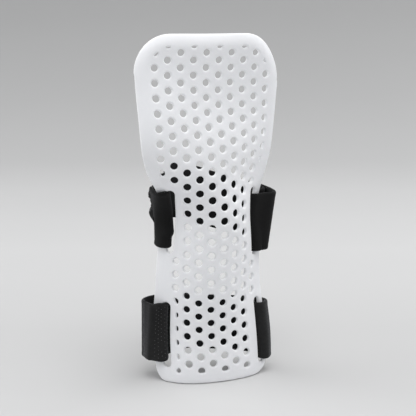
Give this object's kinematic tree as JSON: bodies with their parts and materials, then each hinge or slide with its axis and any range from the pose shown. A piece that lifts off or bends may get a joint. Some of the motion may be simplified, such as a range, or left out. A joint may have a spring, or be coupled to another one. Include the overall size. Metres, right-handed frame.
{
  "type": "wrist splint",
  "caption": "Rigid perforated plastic splint that cups the palm, wrist and forearm, closed by black hook-and-loop straps at the wrist and forearm.",
  "frame": {"origin": "on the splint shell's centre line at its flat proximal rim, at the middle of the sheet's thickness", "axes": "+Z along the forearm from the proximal rim towards the fingers, -Y out of the shell's convex outer face, +Y towards the limb and the straps' back spans, +X to the right when the outer face is looked at"},
  "size_m": [0.0948, 0.0676, 0.2211],
  "materials": {
    "shell": "smooth matt white moulded sheet",
    "strap": "black brushed loop webbing",
    "hook": "black woven hook tape",
    "thread": "black polyester thread"
  },
  "bodies": {
    "shell": {"splint_shell": "shell", "wrist_strap": "strap", "wrist_anchor_stitching": "thread", "forearm_strap": "strap", "forearm_anchor_stitching": "thread"},
    "wrist_tab": {"wrist_hook_tab": "hook", "wrist_tab_stitching": "thread"},
    "forearm_tab": {"forearm_hook_tab": "hook", "forearm_tab_stitching": "thread"}
  },
  "joints": [
    {"name": "wrist_tab_peel", "type": "hinge", "parent": "shell", "child": "wrist_tab", "pos_m": [-0.0357, 0.0231, 0.1132], "axis": [0, 0, 1], "range_deg": [0, 130]},
    {"name": "forearm_tab_peel", "type": "hinge", "parent": "shell", "child": "forearm_tab", "pos_m": [-0.0433, 0.0209, 0.0323], "axis": [0, 0, 1], "range_deg": [0, 130]}
  ]
}
